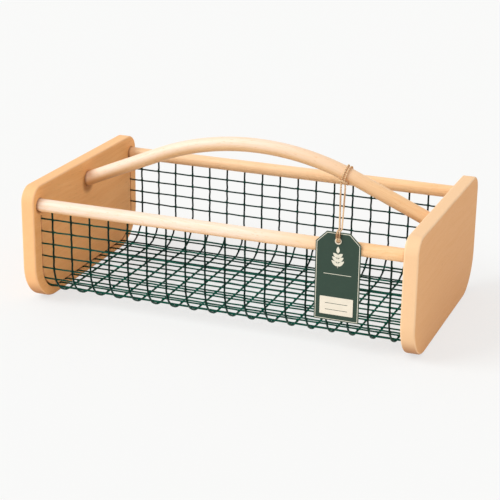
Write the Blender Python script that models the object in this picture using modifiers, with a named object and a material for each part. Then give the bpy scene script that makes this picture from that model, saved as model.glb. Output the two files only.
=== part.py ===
"""Mesh produce caddy.

Two wooden end panels carry two dowel rails and an arched handle in blind sockets. A mesh of coated wire is
bent into a trough: upright wires hang from a slot under each rail, and lengthwise wires end in a groove in
each panel. A hang tag hangs outside the front rail on twine that is hitched round the handle.
Metres, +Z up, +X along the caddy, the front at -Y, and the origin on the floor under the middle.
"""

import math

import bmesh
import bpy
from mathutils import Matrix, Vector

# Clearances
gap = 0.0003
cut_overrun = 0.005

# End panels
inside_length = 0.4654
panel_thickness = 0.018
panel_width = 0.288
panel_height = 0.152
panel_top_radius = 0.020
panel_bottom_radius = 0.050
panel_edge_radius = 0.0025

# Rails, placed from the panels' edges
rail_diameter = 0.016
rail_inset = 0.0155
rail_drop = 0.024
rail_slot_depth = 0.006
socket_depth = 0.010

# Handle: an arc over the middle with a straight leg down to each panel
handle_diameter = 0.018
handle_rise = 0.045
handle_bend_radius = 0.330
handle_bend_half_span = 0.130

# Mesh: uprights are bent into a U, and rows lie along the caddy on the inside of the U
wire_diameter = 0.0022
upright_count = 18
upright_end_gap = 0.0168
upright_bend_radius = 0.0395
upright_floor_height = 0.008
row_count = 27
row_top_drop = 0.0118
row_shift = 0.0016
groove_depth = 0.006
groove_top_margin = 0.004

# Hang tag, hanging against the front of the front rail
tag_width = 0.054
tag_height = 0.108
tag_thickness = 0.0012
tag_corner = 0.013
tag_top_rise = 0.012
tag_centre_x = 0.155
tag_hole_drop = 0.0105
eyelet_bore_radius = 0.0027
eyelet_wall = 0.0004
eyelet_flange_radius = 0.0040
eyelet_flange_thickness = 0.0005
label_width = 0.040
label_height = 0.0215
label_thickness = 0.0003
label_bottom_margin = 0.0075

# Twine
twine_diameter = 0.002
twine_spacing = 0.0027
fold_gap = 0.0004
strand_sag = 0.003
hitch_x = 0.1196
hitch_lift = 0.0002
knot_radius = 0.0023
knot_rise = 0.0012

# The route of one half of the hitch, from the strand's last bend to the middle of the bight that crosses
# over both strands: how far the two halves lie from the line between them, where along the handle that
# line is, the angle round the handle in degrees from straight ahead and up over the top, and the height
# over the turns that lie on the handle.
hitch_route = (
    (0.0029, 0.0061, -47, 0.0105),
    (0.0029, 0.0043, -50, 0.0068),
    (0.0028, 0.0026, -52, 0.0037),
    (0.0026, 0.0013, -52, 0.0017),
    (0.0023, 0.0007, -45, 0.0004),
    (0.0020, 0.0004, -29, 0.0000),
    (0.0018, 0.0000, 0, 0.0000),
    (0.0017, -0.0005, 35, 0.0000),
    (0.0018, -0.0008, 70, 0.0000),
    (0.0021, -0.0008, 110, 0.0000),
    (0.0027, -0.0004, 150, 0.0000),
    (0.0035, 0.0002, 190, 0.0000),
    (0.0044, 0.0008, 230, 0.0000),
    (0.0050, 0.0012, 262, 0.0001),
    (0.0055, 0.0014, 284, 0.0003),
    (0.0056, 0.0014, 302, 0.0006),
    (0.0052, 0.0012, 318, 0.0016),
    (0.0032, 0.0011, 328, 0.0028),
)
bight_middle = (0.0010, 331, 0.0030)

# Where each strand sags, as shares of its run from the tag to the hitch.
strand_shares = (0.25, 0.5, 0.75)

# The two tied strands on the tag, from the fold over its top edge to the knot behind it: height from the
# fold to the hole as a share, and how far in front of the card the strand lies in twine diameters.
tie_height_shares = (1.0, 0.985, 0.90, 0.76, 0.45, 0.22, 0.06)
tie_front_shares = (-0.3, 0.25, 0.62, 0.72, 0.95, 1.10, 0.75)

# Faceting
corner_steps = 10
rail_sides = 24
handle_steps = 18
handle_bevel_resolution = 8
wire_bevel_resolution = 2
twine_bevel_resolution = 2
strand_point_spacing = 3 * twine_diameter
hitch_point_spacing = 1.35 * twine_diameter
route_samples = 16
knot_rings = 8

# Places worked out from the sizes above
half_inside = inside_length / 2
rail_radius = rail_diameter / 2
rail_y = panel_width / 2 - rail_inset
rail_z = panel_height - rail_drop
handle_radius = handle_diameter / 2
handle_apex_z = panel_height + handle_rise
wire_radius = wire_diameter / 2
layer_step = wire_diameter + gap
row_bend_radius = upright_bend_radius - layer_step
row_y = rail_y - layer_step
row_floor_z = upright_floor_height + layer_step
row_top_z = rail_z - rail_radius - row_top_drop
twine_radius = twine_diameter / 2
hitch_radius = handle_radius + gap + hitch_lift + twine_radius
tag_back_y = -(rail_y + rail_radius + gap)
tag_middle_y = tag_back_y - tag_thickness / 2
tag_front_y = tag_back_y - tag_thickness
tag_top_z = rail_z + rail_radius + tag_top_rise
tag_hole_z = tag_top_z - tag_hole_drop
fold_z = tag_top_z + gap + twine_radius

wood = ("wood", (0.86, 0.58, 0.33), 0.45, 0.0)
coated_wire = ("coated_wire", (0.01, 0.09, 0.06), 0.35, 0.0)
tag_card_finish = ("tag_card", (0.03, 0.07, 0.045), 0.7, 0.0)
label_finish = ("label", (0.85, 0.80, 0.70), 0.8, 0.0)
eyelet_finish = ("eyelet", (0.87, 0.83, 0.74), 0.4, 0.0)
twine_finish = ("twine", (0.55, 0.36, 0.20), 0.9, 0.0)


def clear_scene():
    for obj in list(bpy.data.objects):
        bpy.data.objects.remove(obj, do_unlink=True)


def collection_named(name):
    found = bpy.data.collections.get(name)
    if found is None:
        found = bpy.data.collections.new(name)
        bpy.context.scene.collection.children.link(found)
    return found


def material_of(finish):
    name, colour, roughness, metallic = finish
    found = bpy.data.materials.get(name)
    if found is None:
        found = bpy.data.materials.new(name)
        found.use_nodes = True
        shader = found.node_tree.nodes["Principled BSDF"]
        shader.inputs["Base Color"].default_value = (*colour, 1.0)
        shader.inputs["Roughness"].default_value = roughness
        shader.inputs["Metallic"].default_value = metallic
    return found


def add_part(name, data, finish):
    """An object of the caddy, with its own material."""
    obj = bpy.data.objects.new(name, data)
    if not data.materials:
        data.materials.append(material_of(finish))
    collection_named("produce_caddy").objects.link(obj)
    return obj


def add_cutter(name, data):
    """An object that only cuts others."""
    obj = bpy.data.objects.new(name, data)
    collection_named("cutters").objects.link(obj)
    obj.hide_render = True
    obj.display_type = "WIRE"
    return obj


def add_boolean(obj, other, operation="DIFFERENCE"):
    modifier = obj.modifiers.new(f"{operation.lower()}_{other.name}", "BOOLEAN")
    modifier.operation = operation
    modifier.object = other
    modifier.solver = "EXACT"


def tube_curve(name, points, radius, bevel_resolution):
    """A round tube along the points, closed at both ends."""
    curve = bpy.data.curves.new(name, "CURVE")
    curve.dimensions = "3D"
    curve.bevel_depth = radius
    curve.bevel_resolution = bevel_resolution
    curve.use_fill_caps = True
    spline = curve.splines.new("POLY")
    spline.points.add(len(points) - 1)
    for spot, point in zip(spline.points, points):
        spot.co = (*point, 1.0)
    spline.use_smooth = True
    return curve


def plate_curve(name, outlines, thickness):
    """A flat plate, centred on its own plane; outlines after the first are holes."""
    curve = bpy.data.curves.new(name, "CURVE")
    curve.dimensions = "2D"
    curve.fill_mode = "BOTH"
    curve.extrude = thickness / 2
    for outline in outlines:
        spline = curve.splines.new("POLY")
        spline.points.add(len(outline) - 1)
        for spot, point in zip(spline.points, outline):
            spot.co = (*point, 0.0, 1.0)
        spline.use_cyclic_u = True
        spline.use_smooth = False
    return curve


def mesh_of_curve(curve):
    """The curve's mesh with its caps welded, in place of the curve."""
    holder = bpy.data.objects.new(curve.name, curve)
    bpy.context.scene.collection.objects.link(holder)
    graph = bpy.context.evaluated_depsgraph_get()
    mesh = bpy.data.meshes.new_from_object(holder.evaluated_get(graph))
    mesh.name = curve.name
    bpy.data.objects.remove(holder, do_unlink=True)
    bpy.data.curves.remove(curve)
    work = bmesh.new()
    work.from_mesh(mesh)
    weld_distance = gap / 10
    bmesh.ops.remove_doubles(work, verts=work.verts, dist=weld_distance)
    bmesh.ops.recalc_face_normals(work, faces=work.faces)
    work.to_mesh(mesh)
    work.free()
    return mesh


def cylinder_mesh(name, radius, length, sides):
    """A cylinder along X, centred on its middle."""
    mesh = bpy.data.meshes.new(name)
    work = bmesh.new()
    along_x = Matrix.Rotation(math.radians(90), 4, "Y")
    bmesh.ops.create_cone(
        work, cap_ends=True, segments=sides, radius1=radius, radius2=radius, depth=length, matrix=along_x
    )
    work.to_mesh(mesh)
    work.free()
    smooth_round(mesh)
    return mesh


def box_mesh(name, size):
    mesh = bpy.data.meshes.new(name)
    work = bmesh.new()
    bmesh.ops.create_cube(work, size=1.0, matrix=Matrix.Diagonal((*size, 1.0)))
    work.to_mesh(mesh)
    work.free()
    return mesh


def smooth_round(mesh):
    """Round sides shaded smooth, with the edges round their ends kept sharp."""
    mesh.shade_smooth()
    mesh.set_sharp_from_angle(angle=math.radians(40))


def arc_points(centre, radius, start, end, steps):
    """Points on an arc between two angles in degrees, both ends included."""
    points = []
    for i in range(steps + 1):
        angle = math.radians(start + (end - start) * i / steps)
        points.append((centre[0] + radius * math.cos(angle), centre[1] + radius * math.sin(angle)))
    return points


def panel_outline():
    """The end panel's outline in its own plane, its foot on zero."""
    side = panel_width / 2
    low = panel_bottom_radius
    high = panel_top_radius
    top = panel_height - high
    points = arc_points((side - low, low), low, -90, 0, corner_steps)
    points += arc_points((side - high, top), high, 0, 90, corner_steps)
    points += arc_points((high - side, top), high, 90, 180, corner_steps)
    points += arc_points((low - side, low), low, 180, 270, corner_steps)
    return points


def build_panel(name, side, cutters):
    """An end panel standing across the caddy; side is -1 on the left and 1 on the right."""
    mesh = mesh_of_curve(plate_curve(name, [panel_outline()], panel_thickness))
    panel = add_part(name, mesh, wood)
    panel.rotation_euler = (math.radians(90), 0, math.radians(90))
    panel.location = (side * (half_inside + panel_thickness / 2), 0, 0)
    rounding = panel.modifiers.new("soft_edges", "BEVEL")
    rounding.width = panel_edge_radius
    rounding.segments = 3
    rounding.limit_method = "ANGLE"
    rounding.angle_limit = math.radians(60)
    for cutter in cutters:
        add_boolean(panel, cutter)
    smooth_round(mesh)
    return panel


def rail_bore(side):
    """Cuts the sockets of one rail in both panels."""
    length = inside_length + 2 * socket_depth
    name = f"rail_bore_{'front' if side < 0 else 'rear'}"
    bore = add_cutter(name, cylinder_mesh(name, rail_radius + gap, length, rail_sides))
    bore.location = (0, side * rail_y, rail_z)
    return bore


def rail_slot(side):
    """Cuts the slot along the underside of one rail that takes the tops of the uprights."""
    name = f"rail_slot_{'front' if side < 0 else 'rear'}"
    depth = rail_slot_depth + cut_overrun
    length = inside_length + 2 * (socket_depth + cut_overrun)
    slot = add_cutter(name, box_mesh(name, (length, wire_diameter + 2 * gap, depth)))
    slot.location = (0, side * rail_y, rail_z - rail_radius + rail_slot_depth - depth / 2)
    return slot


def build_rail(name, side):
    length = inside_length + 2 * (socket_depth - gap)
    rail = add_part(name, cylinder_mesh(name, rail_radius, length, rail_sides), wood)
    rail.location = (0, side * rail_y, rail_z)
    add_boolean(rail, rail_slot(side))
    return rail


def handle_path(end_depth):
    """The handle's centre line, from socket to socket; each end lies end_depth inside its panel's face."""
    bend_centre_z = handle_apex_z - handle_bend_radius
    half_angle = math.degrees(math.asin(handle_bend_half_span / handle_bend_radius))
    arc = arc_points((0, bend_centre_z), handle_bend_radius, 90 + half_angle, 90 - half_angle, handle_steps)
    slope = math.tan(math.radians(half_angle))
    end_x = half_inside + end_depth
    end_z = arc[-1][1] - (end_x - handle_bend_half_span) * slope
    path = [(-end_x, end_z)] + arc + [(end_x, end_z)]
    return [(x, 0, z) for x, z in path]


def build_handle():
    path = handle_path(socket_depth - gap)
    curve = tube_curve("handle", path, handle_radius, handle_bevel_resolution)
    return add_part("handle", curve, wood)


def handle_bore():
    """Cuts the handle's slanted sockets in both panels."""
    path = handle_path(socket_depth)
    curve = tube_curve("handle_bore", path, handle_radius + gap, handle_bevel_resolution)
    return add_cutter("handle_bore", mesh_of_curve(curve))


def trough_profile(half_width, floor_z, bend_radius, top_z):
    """The U of the trough across the caddy, from the front top round the floor to the rear top."""
    centre_y = half_width - bend_radius
    centre_z = floor_z + bend_radius
    front = arc_points((-centre_y, centre_z), bend_radius, 180, 270, corner_steps)
    rear = arc_points((centre_y, centre_z), bend_radius, 270, 360, corner_steps)
    return [(-half_width, top_z)] + front + rear + [(half_width, top_z)]


def mesh_groove():
    """Cuts the groove in each panel that takes the ends of the rows."""
    top_z = row_top_z + row_shift + groove_top_margin
    profile = trough_profile(row_y, row_floor_z, row_bend_radius, top_z)
    reach = half_inside + groove_depth
    work = bmesh.new()
    left = [work.verts.new((-reach, y, z)) for y, z in profile]
    right = [work.verts.new((reach, y, z)) for y, z in profile]
    for i in range(len(profile) - 1):
        work.faces.new((left[i], right[i], right[i + 1], left[i + 1]))
    mesh = bpy.data.meshes.new("mesh_groove")
    work.to_mesh(mesh)
    work.free()
    groove = add_cutter("mesh_groove", mesh)
    wall = groove.modifiers.new("groove_width", "SOLIDIFY")
    wall.thickness = wire_diameter + 2 * gap
    wall.offset = 0
    return groove


def build_uprights():
    """The wires bent into a U, side by side along the caddy, their tops in the rails' slots."""
    top_z = rail_z - rail_radius + rail_slot_depth - gap
    profile = trough_profile(rail_y, upright_floor_height, upright_bend_radius, top_z)
    curve = tube_curve("upright_wire", [(0, y, z) for y, z in profile], wire_radius, wire_bevel_resolution)
    first = -half_inside + upright_end_gap
    pitch = (inside_length - 2 * upright_end_gap) / (upright_count - 1)
    for i in range(upright_count):
        wire = add_part(f"upright_wire_{i + 1:02d}", curve, coated_wire)
        wire.location = (first + i * pitch, 0, 0)


def row_place(distance):
    """The place (y, z) of a row that lies this far along the U from the middle of the floor."""
    side = 1 if distance >= 0 else -1
    flat = row_y - row_bend_radius
    quarter = row_bend_radius * math.pi / 2
    rest = abs(distance)
    if rest <= flat:
        return distance, row_floor_z
    if rest <= flat + quarter:
        angle = (rest - flat) / row_bend_radius
        y = flat + row_bend_radius * math.sin(angle)
        return side * y, row_floor_z + row_bend_radius * (1 - math.cos(angle))
    return side * row_y, row_floor_z + row_bend_radius + rest - flat - quarter


def build_rows():
    """The straight wires along the caddy, evenly spaced round the inside of the U. They sit a little
    higher on the front wall than on the rear one."""
    length = inside_length + 2 * (groove_depth - gap)
    wire_sides = 2 * (wire_bevel_resolution + 2)
    mesh = cylinder_mesh("row_wire", wire_radius, length, wire_sides)
    flat = row_y - row_bend_radius
    straight = row_top_z - row_floor_z - row_bend_radius
    half_run = flat + row_bend_radius * math.pi / 2 + straight
    for i in range(row_count):
        wire = add_part(f"row_wire_{i + 1:02d}", mesh, coated_wire)
        y, z = row_place(-half_run - row_shift + 2 * half_run * i / (row_count - 1))
        wire.location = (0, y, z)


def handle_place(x):
    """The height and the downward slope angle of the handle's centre line at x, on its arc."""
    angle = math.asin(x / handle_bend_radius)
    return handle_apex_z - handle_bend_radius * (1 - math.cos(angle)), angle


def smooth_curve(points):
    """A smooth curve through the route's own points, with route_samples steps from each to the next."""
    ends = [points[0] * 2 - points[1], *points, points[-1] * 2 - points[-2]]
    curve = []
    for i in range(1, len(ends) - 2):
        a, b, c, d = ends[i - 1 : i + 3]
        linear = c - a
        square = 2 * a - 5 * b + 4 * c - d
        cubic = 3 * b - a - 3 * c + d
        for k in range(route_samples):
            t = k / route_samples
            curve.append(b + (linear * t + square * t**2 + cubic * t**3) / 2)
    return curve + [points[-1]]


def even_points(curve, spacing):
    """Points about this far apart along a curve, from its start to its end."""
    lengths = [0.0]
    for a, b in zip(curve, curve[1:]):
        lengths.append(lengths[-1] + (b - a).length)
    count = round(lengths[-1] / spacing)
    even = []
    k = 0
    for i in range(count + 1):
        along = lengths[-1] * i / count
        while k < len(curve) - 2 and lengths[k + 1] < along:
            k += 1
        even.append(curve[k].lerp(curve[k + 1], (along - lengths[k]) / (lengths[k + 1] - lengths[k])))
    return even


def pivot(name, place, tilt, parent=None):
    """An empty on a joint's axis, which is its own X axis."""
    empty = bpy.data.objects.new(name, None)
    collection_named("produce_caddy").objects.link(empty)
    empty.location = place
    empty.rotation_euler = (0, tilt, 0)
    if parent is not None:
        empty.parent = parent
        bpy.context.view_layer.update()
        empty.matrix_parent_inverse = parent.matrix_world.inverted()
    bpy.context.view_layer.update()
    return empty


def hang_on(obj, empty):
    """Parents an object to a pivot, where the object's own coordinates are the world's."""
    obj.parent = empty
    obj.matrix_parent_inverse = empty.matrix_world.inverted()


def hitch_spot(hitch_frame, along, angle, lift):
    """A point of the hitch in the world."""
    turn = math.radians(angle)
    radius = hitch_radius + lift
    return hitch_frame @ Vector((along, -radius * math.cos(turn), radius * math.sin(turn)))


def hitch_half(hitch_frame, side):
    """One half of the hitch's route in the world, from the strand's last bend to the bight."""
    return [
        hitch_spot(hitch_frame, side * apart + along, angle, lift) for apart, along, angle, lift in hitch_route
    ]


def strand_half(side, end):
    """One strand's route in the world, from the fold over the tag towards its end at the hitch."""
    fold = Vector((tag_centre_x + side * twine_spacing / 2, tag_middle_y + fold_gap, fold_z))
    straight = fold + Vector((0, strand_point_spacing, 0))
    strand = [fold, straight]
    for share in strand_shares:
        droop = 4 * strand_sag * share * (1 - share)
        strand.append(straight.lerp(end, share) - Vector((0, 0, droop)))
    return strand


def twine_points(hitch_frame):
    """The twine's points in the world: strand, hitch round the handle, and strand back."""
    bight = hitch_spot(hitch_frame, *bight_middle)
    left = hitch_half(hitch_frame, -1)
    right = hitch_half(hitch_frame, 1)
    strand = strand_half(-1, left[0])
    curve = smooth_curve(strand + left + [bight] + right[::-1] + strand_half(1, right[0])[::-1])
    lead = len(strand) * route_samples
    first = even_points(curve[: lead + 1], strand_point_spacing)
    hitch = even_points(curve[lead : -lead], hitch_point_spacing)
    last = even_points(curve[-lead - 1 :], strand_point_spacing)
    return first + hitch[1:-1] + last


def report_cord(name, points, diameter):
    """Prints a cord's length and its least gap to itself, leaving out stretches that follow one another."""
    step = diameter / 4
    fine = even_points(points, step)
    apart = round(4 * diameter / step)
    least = min((fine[i] - fine[j]).length for i in range(len(fine)) for j in range(i + apart, len(fine)))
    length = step * len(fine)
    print(f"{name}: {len(points)} points, {1000 * length:.1f} mm long")
    print(f"{name}: least gap to itself {1000 * (least - diameter):.2f} mm")


def build_twine(twine_pivot):
    """The free twine, from the fold over the tag to the hitch on the handle and back."""
    points = twine_points(twine_pivot.matrix_world)
    report_cord("tag_twine", points, twine_diameter)
    inverse = twine_pivot.matrix_world.inverted()
    local = [inverse @ point for point in points]
    curve = tube_curve("tag_twine", local, twine_radius, twine_bevel_resolution)
    twine = add_part("tag_twine", curve, twine_finish)
    twine.parent = twine_pivot
    return twine


def build_tag_card(tag_pivot):
    side = tag_width / 2
    shoulder = side - tag_corner
    outline = [(-side, -tag_height), (side, -tag_height), (side, -tag_corner)]
    outline += [(shoulder, 0), (-shoulder, 0), (-side, -tag_corner)]
    hole_radius = eyelet_bore_radius + eyelet_wall + gap
    hole = arc_points((0, -tag_hole_drop), hole_radius, 360 / rail_sides, 360, rail_sides - 1)
    mesh = mesh_of_curve(plate_curve("tag_card", [outline, hole], tag_thickness))
    card = add_part("tag_card", mesh, tag_card_finish)
    card.rotation_euler = (math.radians(90), 0, 0)
    card.location = (tag_centre_x, tag_middle_y, tag_top_z)
    hang_on(card, tag_pivot)
    return card


def build_eyelet(tag_pivot):
    """A ring with a flange on each side of the card, turned round the hole's axis."""
    outer = eyelet_bore_radius + eyelet_wall
    face = tag_thickness / 2 + gap
    rim = face + eyelet_flange_thickness
    profile = [(eyelet_bore_radius, -rim), (eyelet_bore_radius, rim), (eyelet_flange_radius, rim)]
    profile += [(eyelet_flange_radius, face), (outer, face), (outer, -face)]
    profile += [(eyelet_flange_radius, -face), (eyelet_flange_radius, -rim)]
    mesh = bpy.data.meshes.new("tag_eyelet")
    work = bmesh.new()
    spots = [work.verts.new((radius, 0, height)) for radius, height in profile]
    for a, b in zip(spots, spots[1:] + spots[:1]):
        work.edges.new((a, b))
    work.to_mesh(mesh)
    work.free()
    eyelet = add_part("tag_eyelet", mesh, eyelet_finish)
    turned = eyelet.modifiers.new("turned", "SCREW")
    turned.steps = rail_sides
    turned.render_steps = rail_sides
    turned.use_merge_vertices = True
    turned.merge_threshold = gap / 10
    turned.use_smooth_shade = True
    eyelet.rotation_euler = (math.radians(90), 0, 0)
    eyelet.location = (tag_centre_x, tag_middle_y, tag_hole_z)
    hang_on(eyelet, tag_pivot)
    return eyelet


def build_label(tag_pivot):
    size = (label_width, label_thickness, label_height)
    label = add_part("tag_label", box_mesh("tag_label", size), label_finish)
    height = tag_top_z - tag_height + label_bottom_margin + label_height / 2
    label.location = (tag_centre_x, tag_front_y - gap - label_thickness / 2, height)
    hang_on(label, tag_pivot)
    return label


def tie_strand(side):
    """One strand from the fold over the tag's edge, down its front and through the eyelet to the knot."""
    x = tag_centre_x + side * twine_spacing / 2
    points = []
    for height_share, front_share in zip(tie_height_shares, tie_front_shares):
        y = tag_front_y - front_share * twine_diameter
        points.append((x, y, tag_hole_z + (fold_z - tag_hole_z) * height_share))
    inside = tag_front_y + tag_thickness / 2
    points.append((x, inside - twine_radius, tag_hole_z))
    points.append((x, inside + twine_radius, tag_hole_z))
    points.append((x, knot_y(), tag_hole_z + knot_rise / 2))
    return points


def knot_y():
    """The knot's centre, behind the eyelet's rear flange."""
    return tag_back_y + gap + eyelet_flange_thickness + gap + knot_radius


def build_knot(tag_pivot):
    """The knot behind the tag with the two strands that come to it."""
    mesh = bpy.data.meshes.new("tag_knot")
    work = bmesh.new()
    bmesh.ops.create_uvsphere(work, u_segments=2 * knot_rings, v_segments=knot_rings, radius=knot_radius)
    work.to_mesh(mesh)
    work.free()
    mesh.shade_smooth()
    knot = add_part("tag_knot", mesh, twine_finish)
    knot.location = (tag_centre_x, knot_y(), tag_hole_z + knot_rise)
    hang_on(knot, tag_pivot)
    for side in (-1, 1):
        name = f"tie_strand_{'left' if side < 0 else 'right'}"
        curve = tube_curve(name, tie_strand(side), twine_radius, twine_bevel_resolution)
        add_boolean(knot, add_cutter(name, mesh_of_curve(curve)), "UNION")
    return knot


def build_caddy():
    clear_scene()
    panel_cutters = [rail_bore(-1), rail_bore(1), handle_bore(), mesh_groove()]
    build_panel("panel_left", -1, panel_cutters)
    build_panel("panel_right", 1, panel_cutters)
    build_rail("rail_front", -1)
    build_rail("rail_rear", 1)
    build_handle()
    build_uprights()
    build_rows()
    hitch_z, hitch_tilt = handle_place(hitch_x)
    twine_pivot = pivot("twine_pivot", (hitch_x, 0, hitch_z), hitch_tilt)
    fold_top = (tag_centre_x, tag_middle_y + fold_gap / 2, fold_z + twine_radius)
    tag_pivot = pivot("tag_pivot", fold_top, 0, twine_pivot)
    build_twine(twine_pivot)
    build_tag_card(tag_pivot)
    build_eyelet(tag_pivot)
    build_label(tag_pivot)
    build_knot(tag_pivot)


build_caddy()
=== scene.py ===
"""Produce caddy: wooden end panels, dowel rails, a bent handle, a trough of coated wire mesh and a hang tag.

Laid out as an add-on. Each operator builds one piece, or a group of like pieces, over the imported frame.
Metres, +Z up, +X along the caddy, the front at -Y.
"""

import functools
import math
import random

import bmesh
import bpy
from mathutils import Matrix, Vector


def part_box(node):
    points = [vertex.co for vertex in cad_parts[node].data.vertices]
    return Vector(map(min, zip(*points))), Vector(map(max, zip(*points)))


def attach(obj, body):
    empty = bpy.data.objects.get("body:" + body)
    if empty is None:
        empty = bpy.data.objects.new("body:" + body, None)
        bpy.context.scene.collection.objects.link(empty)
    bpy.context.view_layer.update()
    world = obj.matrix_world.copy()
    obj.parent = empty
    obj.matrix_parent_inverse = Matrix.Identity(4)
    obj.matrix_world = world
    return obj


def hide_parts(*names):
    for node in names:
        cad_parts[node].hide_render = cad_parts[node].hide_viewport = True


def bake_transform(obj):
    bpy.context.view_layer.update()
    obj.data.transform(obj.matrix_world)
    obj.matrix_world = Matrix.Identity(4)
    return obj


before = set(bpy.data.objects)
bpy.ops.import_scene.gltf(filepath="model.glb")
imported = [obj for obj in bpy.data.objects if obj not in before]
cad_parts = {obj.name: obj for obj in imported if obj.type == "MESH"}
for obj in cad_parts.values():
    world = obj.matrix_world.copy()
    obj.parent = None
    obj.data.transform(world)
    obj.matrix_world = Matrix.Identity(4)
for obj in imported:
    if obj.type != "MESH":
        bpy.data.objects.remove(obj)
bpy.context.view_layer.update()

bl_info = {
    "name": "Produce Caddy",
    "version": (1, 0, 0),
    "blender": (4, 5, 0),
    "location": "View3D > Sidebar > Caddy",
    "description": "Builds a wooden caddy with a wire mesh trough and a hang tag",
    "category": "Add Mesh",
}

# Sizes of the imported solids
gap = 0.0003
panel_low, panel_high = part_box("panel_right")
half_inside = panel_low.x
panel_thickness = panel_high.x - panel_low.x
panel_width = panel_high.y - panel_low.y
panel_height = panel_high.z
panel_top_radius = 0.020
panel_bottom_radius = 0.050
socket_depth = 0.010
rail_radius = 0.008
rail_y = panel_width / 2 - 0.0155
rail_z = panel_height - 0.024
rail_slot_depth = 0.006
handle_radius = 0.009
handle_apex_z = panel_height + 0.045
handle_bend_radius = 0.330
handle_bend_half_span = 0.130
handle_bend_angle = math.asin(handle_bend_half_span / handle_bend_radius)
wire_radius = 0.0011
upright_count = 18
upright_end_gap = 0.0168
row_count = 27
row_step = 2 * wire_radius + gap
row_bend_radius = 0.0395 - row_step
row_y = rail_y - row_step
row_floor_z = 0.008 + row_step
row_top_z = rail_z - rail_radius - 0.0118
row_shift = 0.0016
row_flat = row_y - row_bend_radius
row_corner = row_flat + row_bend_radius * math.pi / 2
row_straight_z = row_floor_z + row_bend_radius
groove_depth = 0.006
groove_top_margin = 0.004
tag_width = 0.054
tag_height = 0.108
tag_thickness = 0.0012
tag_corner = 0.013
tag_centre_x = 0.155
tag_back_y = -(rail_y + rail_radius + gap)
tag_middle_y = tag_back_y - tag_thickness / 2
tag_front_y = tag_back_y - tag_thickness
tag_top_z = rail_z + rail_radius + 0.012
tag_hole_z = tag_top_z - 0.0105
eyelet_bore_radius = 0.0027
eyelet_wall = 0.0004
eyelet_flange_radius = 0.0040
eyelet_flange_thickness = 0.0005
label_width = 0.040
label_height = 0.0215
label_z = tag_top_z - tag_height + 0.0075 + label_height / 2
twine_radius = 0.001
twine_diameter = 2 * twine_radius
twine_spacing = 0.0027
fold_z = tag_top_z + gap + twine_radius
fold_gap = 0.0004
strand_sag = 0.003
strand_lead = 3 * twine_diameter
hitch_x = 0.1196
hitch_lift = 0.0002
hitch_radius = handle_radius + gap + hitch_lift + twine_radius
knot_radius = 0.0023
knot_rise = 0.0012
knot_y = tag_back_y + gap + eyelet_flange_thickness + gap + knot_radius

# The twine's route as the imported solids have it. One half of the hitch, from the strand's last bend to the
# middle of the bight that crosses over both strands: how far the two halves lie from the line between them,
# where along the handle that line is, the angle round the handle in degrees from straight ahead and up over
# the top, and the height over the turns.
hitch_route = (
    (0.0029, 0.0061, -47, 0.0105),
    (0.0029, 0.0043, -50, 0.0068),
    (0.0028, 0.0026, -52, 0.0037),
    (0.0026, 0.0013, -52, 0.0017),
    (0.0023, 0.0007, -45, 0.0004),
    (0.0020, 0.0004, -29, 0.0000),
    (0.0018, 0.0000, 0, 0.0000),
    (0.0017, -0.0005, 35, 0.0000),
    (0.0018, -0.0008, 70, 0.0000),
    (0.0021, -0.0008, 110, 0.0000),
    (0.0027, -0.0004, 150, 0.0000),
    (0.0035, 0.0002, 190, 0.0000),
    (0.0044, 0.0008, 230, 0.0000),
    (0.0050, 0.0012, 262, 0.0001),
    (0.0055, 0.0014, 284, 0.0003),
    (0.0056, 0.0014, 302, 0.0006),
    (0.0052, 0.0012, 318, 0.0016),
    (0.0032, 0.0011, 328, 0.0028),
)
bight_middle = (0.0010, 331, 0.0030)
strand_shares = (0.25, 0.5, 0.75)
tie_height_shares = (1.0, 0.985, 0.90, 0.76, 0.45, 0.22, 0.06)
tie_front_shares = (-0.3, 0.25, 0.62, 0.72, 0.95, 1.10, 0.75)

# Details of the twine. A ply takes this share of the twine's radius. A tail is one of the knot's cut ends:
# where it leaves the knot, how far it runs and how much it bows. The plies of the knot and its tails are
# drawn in to a share and turn by an angle in radians at each point. The bound thread lies between two
# heights over the eyelet.
ply_share = 0.57
knot_spread = 0.00050
knot_share, tail_share = 0.74, 0.68
knot_turn, tail_turn = 0.5, 0.4
tail_start = (0.0008, 0.0008, 0.0006)
tail_run = (0.0022, 0.0030, 0.0034)
tail_bow = 0.0006
tail_spacing = 0.0004
thread_heights = (0.0044, 0.0098)
thread_spacing = 0.0002
thread_over_share = 0.6
strand_depth_share = 0.92

# Details of the mesh: how far the coat is swollen to each side of a crossing, the swelling's outline as
# shares of that reach and of its full height, how much the welds differ in size, and a weld's own form
weld_reach = 0.0042
weld_shares = ((-1.0, 0.0), (-0.6, 0.18), (-0.3, 0.72), (0.0, 1.0), (0.3, 0.72), (0.6, 0.18), (1.0, 0.0))
weld_size_shares = (0.92, 1.08)
weld_form_shares = (1.06, 1.06, 1.22)
upright_seed, row_seed = 100, 300

# Details of the wood: noise cells in a metre along and across the grain, how far the rings wander, which
# part of the grain each piece is cut from, the points of the handle's legs as distances into a panel, and
# the painted shade round the sockets
ring_cells = (3, 150, 150)
fibre_cells = (26, 620, 620)
fleck_cells = (120, 900, 900)
patch_cells = (9, 22, 22)
drift_cells = (4, 10, 10)
ring_drift = 0.035
board_cut = (0.7, 0.31, 0.05)
rail_cut = (0.4, 0.13, 0.09)
handle_cut = (0, 0.4, 0.2)
handle_leg_stops = (-0.030, -0.004, 0.002)
rail_shade_drop, rail_shade_reach = 0.0014, 0.0035
handle_shade_drop, handle_shade_reach = 0.0040, 0.0090
handle_shade_share = 1.05
face_shade_reach = 0.0035

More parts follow.
